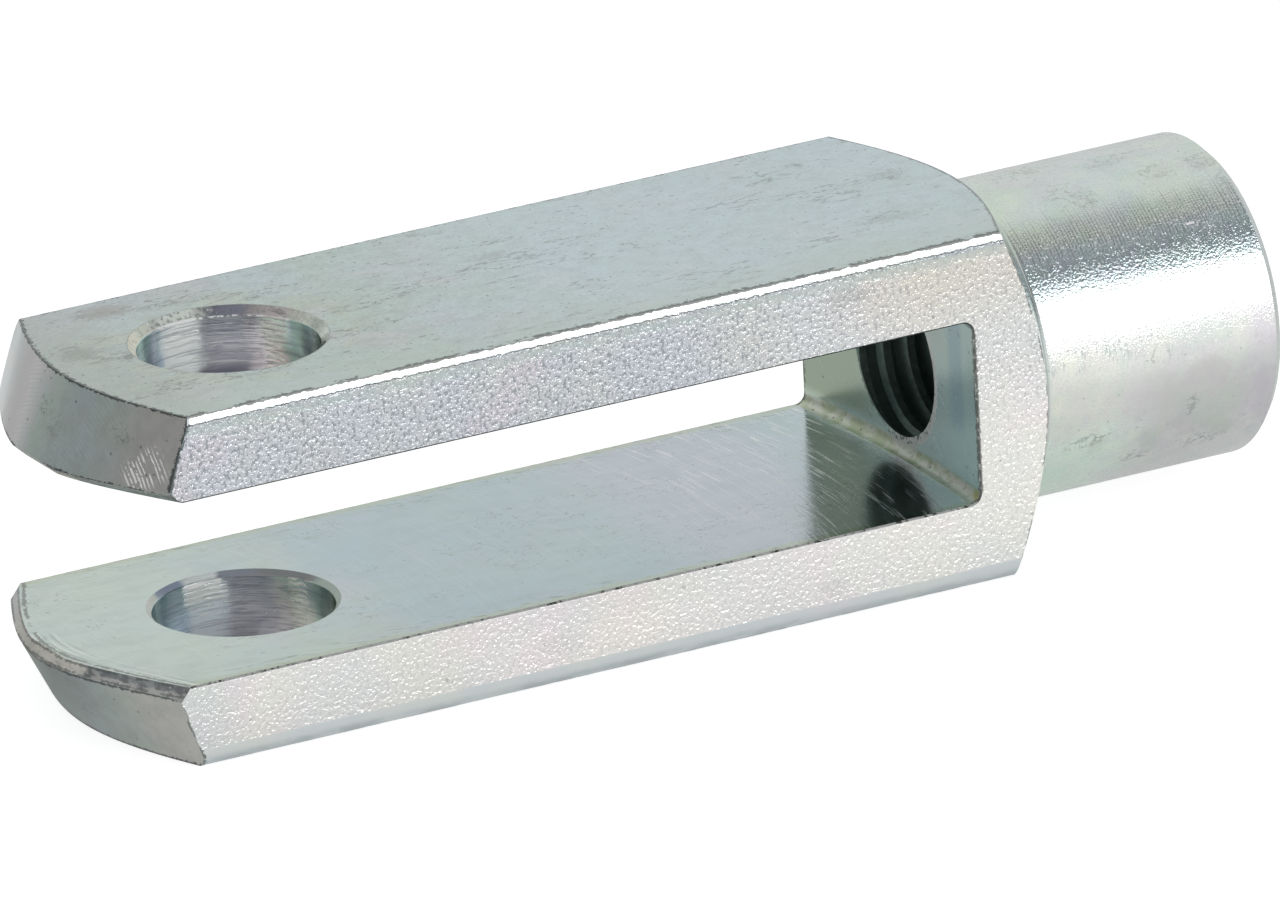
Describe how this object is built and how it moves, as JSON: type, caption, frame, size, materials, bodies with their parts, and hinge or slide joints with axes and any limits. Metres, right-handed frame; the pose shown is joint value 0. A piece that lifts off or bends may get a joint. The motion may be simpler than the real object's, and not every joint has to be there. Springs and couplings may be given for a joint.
{
  "type": "clevis rod end",
  "caption": "Clevis rod end: square fork with a cross pin hole through its ears and a threaded round neck that screws onto a rod.",
  "frame": {"origin": "centre of the pin hole, on the rod axis", "axes": "+X along the rod axis from the fork tips to the threaded neck, +Y across the bar where the slot is open, +Z along the pin axis, up from the ear it lies on"},
  "size_m": [0.0724, 0.02, 0.02],
  "materials": {
    "zinc_steel": "satin, zinc plated with a clear blue passivation"
  },
  "bodies": {
    "root": {"clevis": "zinc_steel"}
  },
  "joints": []
}
